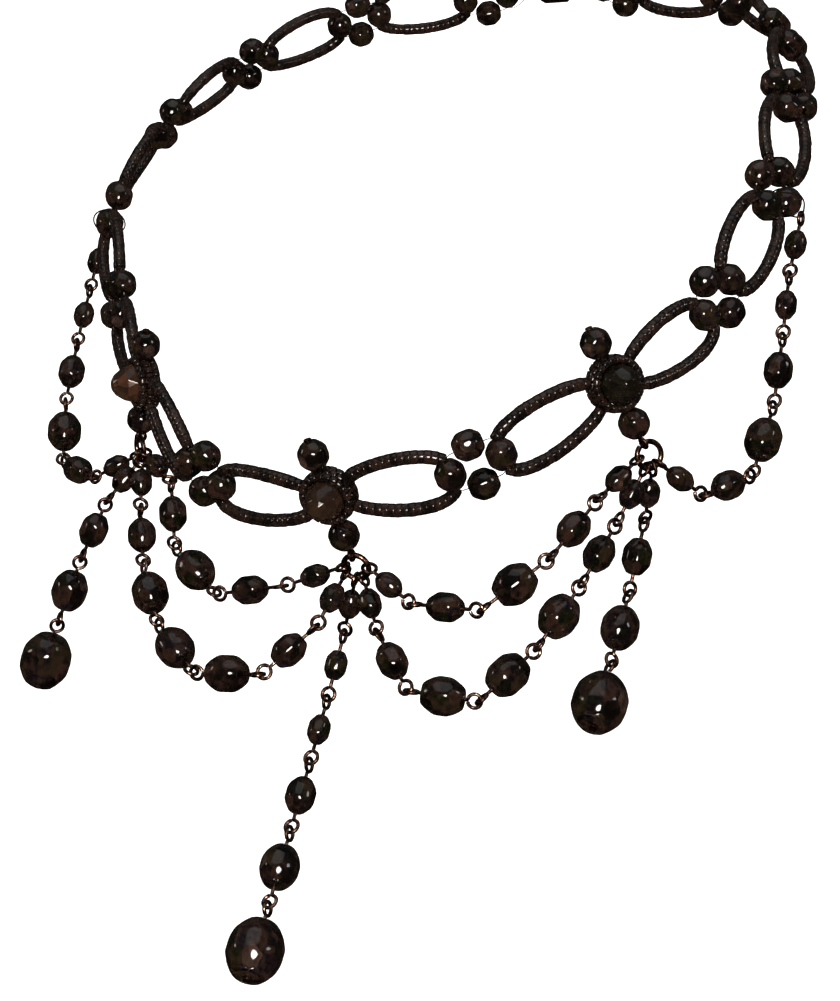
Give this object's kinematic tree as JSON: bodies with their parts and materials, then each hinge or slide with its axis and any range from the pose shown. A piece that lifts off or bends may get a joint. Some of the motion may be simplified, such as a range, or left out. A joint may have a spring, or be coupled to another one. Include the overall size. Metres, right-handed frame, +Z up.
{
  "type": "choker",
  "caption": "Beaded choker in its worn form: a band of bead crosses, ovals and stone medallions, with swags and drops of faceted beads on eye pins.",
  "frame": {"origin": "middle of the neck opening, between the middle medallion at the front and the clasp at the back", "axes": "+X to the viewer's right, front of the choker towards -Y, +Z up as it is worn"},
  "size_m": [0.1311, 0.1525, 0.1566],
  "materials": {
    "jet_glass": "black fire-polished glass with a faint brown, green and violet lustre",
    "seed_glass": "small round black glass seed beads, glossy with a grey-brown lustre",
    "stone": "polished cut glass, black-brown",
    "copper_wire": "antique copper, darkened, semi-polished",
    "thread": "black beading thread, satin"
  },
  "bodies": {
    "root": {"stone_left": "stone", "bezel_left": "seed_glass", "top_bead_left": "jet_glass", "bottom_bead_left": "jet_glass", "pins_left": "copper_wire", "jump_ring_left": "copper_wire", "stone_center": "stone", "bezel_center": "seed_glass", "top_bead_center": "jet_glass", "bottom_bead_center": "jet_glass", "pins_center": "copper_wire", "jump_ring_center": "copper_wire", "stone_right": "stone", "bezel_right": "seed_glass", "top_bead_right": "jet_glass", "bottom_bead_right": "jet_glass", "pins_right": "copper_wire", "jump_ring_right": "copper_wire", "cross_01": "jet_glass", "cross_02": "jet_glass", "cross_03": "jet_glass", "cross_04": "jet_glass", "cross_05": "jet_glass", "cross_06": "jet_glass", "cross_07": "jet_glass", "cross_08": "jet_glass", "cross_09": "jet_glass", "cross_10": "jet_glass", "cross_11": "jet_glass", "cross_12": "jet_glass", "cross_13": "jet_glass", "cross_14": "jet_glass", "strands_left": "seed_glass", "strands_front": "seed_glass", "strands_right": "seed_glass", "threads_left": "thread", "threads_front": "thread", "threads_right": "thread", "swag_upper_left_beads": "jet_glass", "swag_upper_left_pins": "copper_wire", "swag_upper_right_beads": "jet_glass", "swag_upper_right_pins": "copper_wire", "swag_lower_left_beads": "jet_glass", "swag_lower_left_pins": "copper_wire", "swag_lower_right_beads": "jet_glass", "swag_lower_right_pins": "copper_wire", "swag_outer_left_beads": "jet_glass", "swag_outer_left_pins": "copper_wire", "swag_outer_right_beads": "jet_glass", "swag_outer_right_pins": "copper_wire", "drop_left_beads": "jet_glass", "drop_left_pins": "copper_wire", "drop_center_beads": "jet_glass", "drop_center_pins": "copper_wire", "drop_right_beads": "jet_glass", "drop_right_pins": "copper_wire", "hanger_left": "thread", "hanger_right": "thread", "clasp": "copper_wire"}
  },
  "joints": []
}
